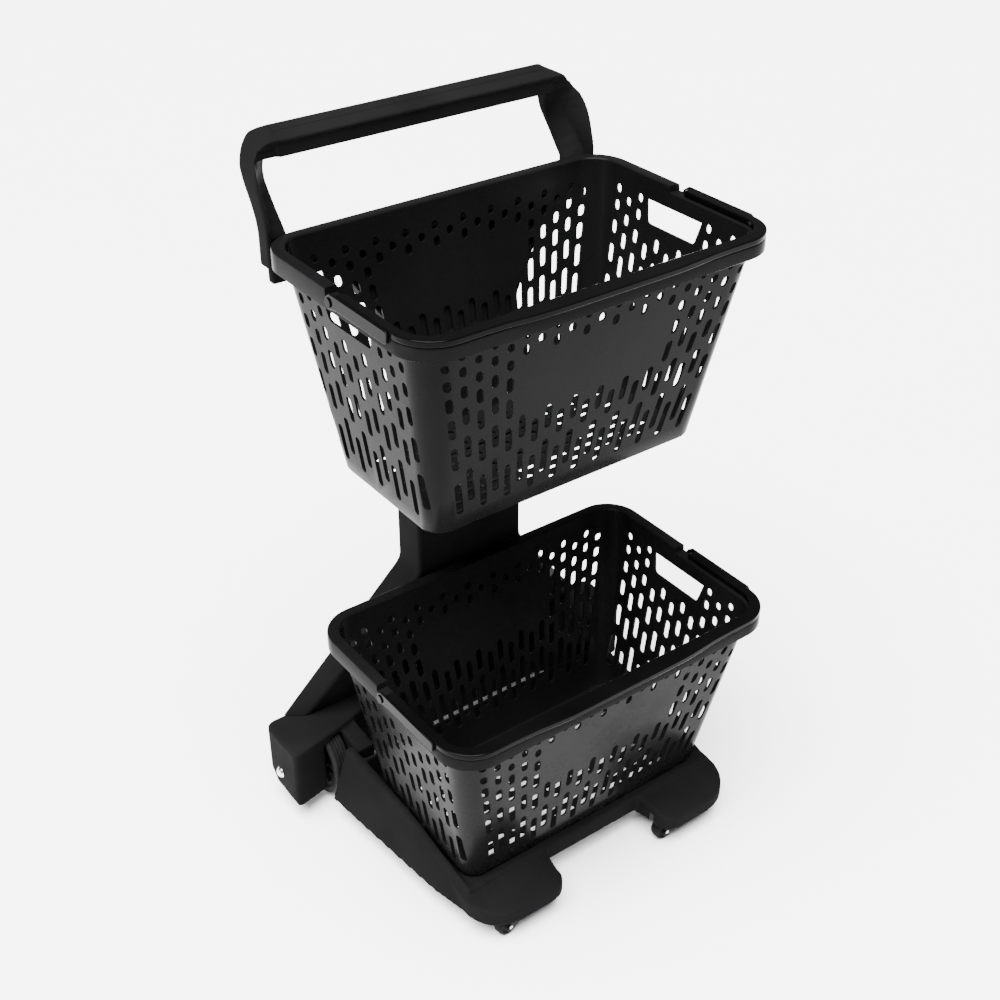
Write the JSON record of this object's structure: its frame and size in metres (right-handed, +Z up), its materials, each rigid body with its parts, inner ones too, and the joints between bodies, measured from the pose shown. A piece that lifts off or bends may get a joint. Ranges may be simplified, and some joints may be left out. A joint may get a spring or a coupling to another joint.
{
  "type": "rolling basket trolley",
  "caption": "Wheeled shop trolley frame with a leaning loop handle that carries lift-off perforated hand baskets at two levels, each with a folding carrying bail.",
  "frame": {"origin": "on the floor under the middle of the bounding box", "axes": "+Z up, +Y towards the handle, +X to the right seen from the front-facing user side, symmetric about X=0"},
  "size_m": [0.5848, 0.47, 0.95],
  "materials": {
    "frame_plastic": "fine-pebbled moulded black plastic",
    "basket_plastic": "satin black moulded plastic",
    "bail_plastic": "glossy black moulded plastic",
    "wheel_plastic": "dark grey nylon",
    "bush_plastic": "natural grey acetal",
    "tyre_rubber": "grey-black rubber",
    "castor_rubber": "grey-black rubber",
    "screw_steel": "zinc-plated steel",
    "axle_steel": "drawn steel",
    "cap_steel": "pressed bright steel"
  },
  "bodies": {
    "frame": {"base_frame": "frame_plastic", "column": "frame_plastic", "yoke": "frame_plastic", "basket_shelf": "frame_plastic", "handle_loop": "frame_plastic", "column_screws": "screw_steel", "shelf_screws": "screw_steel", "yoke_screws": "screw_steel", "loop_screws": "screw_steel", "rear_axle": "axle_steel", "left_inner_bush": "bush_plastic", "left_outer_bush": "bush_plastic", "left_wheel_spacer": "bush_plastic", "left_axle_cap": "cap_steel", "left_castor_sleeve": "bush_plastic", "right_inner_bush": "bush_plastic", "right_outer_bush": "bush_plastic", "right_wheel_spacer": "bush_plastic", "right_axle_cap": "cap_steel", "right_castor_sleeve": "bush_plastic"},
    "left_rear_wheel": {"left_rear_wheel_core": "wheel_plastic", "left_rear_tyre": "tyre_rubber"},
    "left_castor_swivel": {"left_castor_fork": "wheel_plastic", "left_castor_stem": "axle_steel", "left_castor_axle": "axle_steel"},
    "left_castor_roller": {"left_castor_wheel": "castor_rubber"},
    "right_rear_wheel": {"right_rear_wheel_core": "wheel_plastic", "right_rear_tyre": "tyre_rubber"},
    "right_castor_swivel": {"right_castor_fork": "wheel_plastic", "right_castor_stem": "axle_steel", "right_castor_axle": "axle_steel"},
    "right_castor_roller": {"right_castor_wheel": "castor_rubber"},
    "lower_basket_body": {"lower_basket": "basket_plastic", "lower_bail_pins": "bail_plastic"},
    "lower_bail_body": {"lower_bail": "bail_plastic"},
    "upper_basket_body": {"upper_basket": "basket_plastic", "upper_bail_pins": "bail_plastic"},
    "upper_bail_body": {"upper_bail": "bail_plastic"}
  },
  "joints": [
    {"name": "left_rear_wheel_spin", "type": "hinge", "parent": "frame", "child": "left_rear_wheel", "pos_m": [-0.219, 0.16, 0.0585], "axis": [1, 0, 0], "continuous": true},
    {"name": "left_castor_swivel_turn", "type": "hinge", "parent": "frame", "child": "left_castor_swivel", "pos_m": [-0.1365, -0.206, 0.03], "axis": [0, 0, 1], "continuous": true},
    {"name": "left_castor_roll", "type": "hinge", "parent": "left_castor_swivel", "child": "left_castor_roller", "pos_m": [-0.17137, -0.20905, 0.0152], "axis": [0.0872, -0.9962, 0], "continuous": true},
    {"name": "right_rear_wheel_spin", "type": "hinge", "parent": "frame", "child": "right_rear_wheel", "pos_m": [0.219, 0.16, 0.0585], "axis": [1, 0, 0], "continuous": true},
    {"name": "right_castor_swivel_turn", "type": "hinge", "parent": "frame", "child": "right_castor_swivel", "pos_m": [0.1365, -0.206, 0.03], "axis": [0, 0, 1], "continuous": true},
    {"name": "right_castor_roll", "type": "hinge", "parent": "right_castor_swivel", "child": "right_castor_roller", "pos_m": [0.10155, -0.20417, 0.0152], "axis": [-0.0523, -0.9986, 0], "continuous": true},
    {"name": "lower_basket_lift", "type": "slide", "parent": "frame", "child": "lower_basket_body", "axis": [0, 0, 1], "range_m": [0, 0.14]},
    {"name": "lower_bail_swing", "type": "hinge", "parent": "lower_basket_body", "child": "lower_bail_body", "pos_m": [0, -0.065, 0.333], "axis": [-1, 0, 0], "range_deg": [0, 90]},
    {"name": "upper_basket_lift", "type": "slide", "parent": "frame", "child": "upper_basket_body", "axis": [0, 0, 1], "range_m": [0, 0.3]},
    {"name": "upper_bail_swing", "type": "hinge", "parent": "upper_basket_body", "child": "upper_bail_body", "pos_m": [0, -0.005, 0.834], "axis": [-1, 0, 0], "range_deg": [0, 90]}
  ]
}
